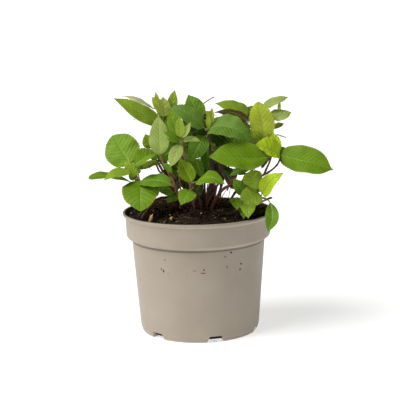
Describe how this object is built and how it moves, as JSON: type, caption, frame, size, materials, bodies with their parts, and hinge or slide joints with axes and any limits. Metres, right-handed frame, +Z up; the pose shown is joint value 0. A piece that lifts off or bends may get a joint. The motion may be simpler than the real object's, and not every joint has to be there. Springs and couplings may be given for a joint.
{
  "type": "young hydrangea shrub in a nursery pot",
  "caption": "Bushy young leafy shrub on thin reddish canes, rooted in a mound of dark compost in a taupe round plastic pot with a stepped rim band.",
  "frame": {"origin": "centre of the pot's flat underside, on the floor", "axes": "+Z up, -Y towards the side that faces the viewer, +X to the viewer's right, where the longest leaf reaches out"},
  "size_m": [0.3033, 0.2174, 0.3042],
  "materials": {
    "pot_plastic": "satin taupe moulded plastic with a few soil specks",
    "potting_soil": "dark moist compost with bark chips",
    "bark": "thin reddish-brown young bark",
    "leaf": "fresh green leaves, softly glossy above and paler below"
  },
  "bodies": {
    "root": {"pot": "pot_plastic", "soil": "potting_soil", "cane_back": "bark", "cane_back_left": "bark", "cane_back_right": "bark", "cane_centre": "bark", "cane_front": "bark", "cane_front_left": "bark", "cane_inner": "bark", "cane_left": "bark", "cane_low_back": "bark", "cane_low_back_left": "bark", "cane_low_back_right": "bark", "cane_low_inner": "bark", "cane_low_left": "bark", "cane_low_right": "bark", "cane_right": "bark", "cane_top_left": "bark", "bough_far_right": "bark", "bough_inner_right": "bark", "bough_low_right": "bark", "bough_right": "bark", "bough_rim_right": "bark", "bough_top_right": "bark", "foliage_back": "leaf", "foliage_back_left": "leaf", "foliage_back_right": "leaf", "foliage_centre": "leaf", "foliage_front": "leaf", "foliage_front_left": "leaf", "foliage_high_right": "leaf", "foliage_inner": "leaf", "foliage_inner_right": "leaf", "foliage_left": "leaf", "foliage_low_back": "leaf", "foliage_low_back_left": "leaf", "foliage_low_back_right": "leaf", "foliage_low_inner": "leaf", "foliage_low_left": "leaf", "foliage_low_right": "leaf", "foliage_right": "leaf", "foliage_rim_right": "leaf", "foliage_top_left": "leaf", "foliage_top_right": "leaf"}
  },
  "joints": []
}
